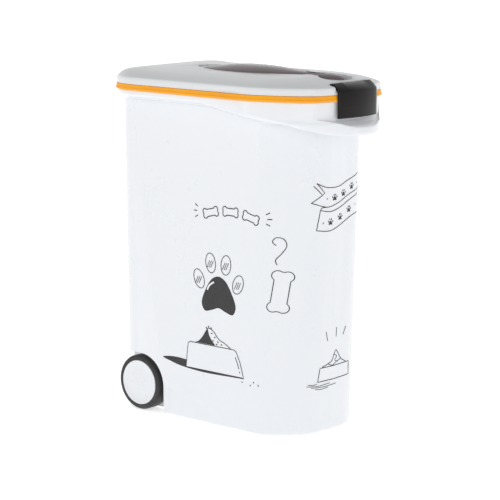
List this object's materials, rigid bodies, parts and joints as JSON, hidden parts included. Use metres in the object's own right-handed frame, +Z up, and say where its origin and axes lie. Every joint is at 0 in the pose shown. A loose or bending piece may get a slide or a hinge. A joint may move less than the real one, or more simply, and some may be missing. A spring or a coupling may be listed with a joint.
{
  "type": "pet food storage bin",
  "caption": "Tall tapered wheeled bin for dry pet food, with a hinged domed lid, coloured rim seal, front pull-down latch and a leaf-shaped scoop stored in the lid.",
  "frame": {"origin": "on the floor, under the middle of the bin's overall length and width", "axes": "+X to the front (latch end), -X to the wheels, +Z up, +Y to the bin's left side"},
  "size_m": [0.4843, 0.2754, 0.6045],
  "materials": {
    "white_plastic": "white moulded polypropylene, satin",
    "lid_plastic": "pale grey-white moulded polypropylene, satin",
    "orange_seal": "soft orange seal, satin",
    "gloss_black": "high-gloss black",
    "wheel_black": "matt black moulded plastic",
    "cap_white": "white moulded plastic, satin",
    "smoke_plastic": "smoke-grey translucent plastic, glossy",
    "steel": "bright drawn steel"
  },
  "bodies": {
    "bin": {"bin_body": "white_plastic", "axle": "steel", "washer_left": "cap_white", "washer_right": "cap_white", "push_nut_left": "steel", "push_nut_right": "steel", "hinge_pin_left": "steel", "hinge_pin_right": "steel"},
    "lid": {"lid": "lid_plastic", "lid_seal": "orange_seal", "latch_pin": "steel"},
    "latch": {"latch": "gloss_black"},
    "scoop": {"scoop": "smoke_plastic"},
    "wheel_left": {"wheel_left": "wheel_black", "hub_cap_left": "cap_white"},
    "wheel_right": {"wheel_right": "wheel_black", "hub_cap_right": "cap_white"}
  },
  "joints": [
    {"name": "lid_hinge", "type": "hinge", "parent": "bin", "child": "lid", "pos_m": [-0.238, 0, 0.566], "axis": [0, -1, 0], "range_deg": [0, 105]},
    {"name": "latch_hinge", "type": "hinge", "parent": "lid", "child": "latch", "pos_m": [0.2042, 0, 0.5848], "axis": [0, -1, 0], "range_deg": [0, 95]},
    {"name": "scoop_lift", "type": "slide", "parent": "lid", "child": "scoop", "axis": [0, 0, 1], "range_m": [0, 0.2]},
    {"name": "wheel_left_spin", "type": "hinge", "parent": "bin", "child": "wheel_left", "pos_m": [-0.1733, 0.096, 0.0481], "axis": [0, 1, 0], "continuous": true},
    {"name": "wheel_right_spin", "type": "hinge", "parent": "bin", "child": "wheel_right", "pos_m": [-0.1733, -0.096, 0.0481], "axis": [0, 1, 0], "continuous": true}
  ]
}
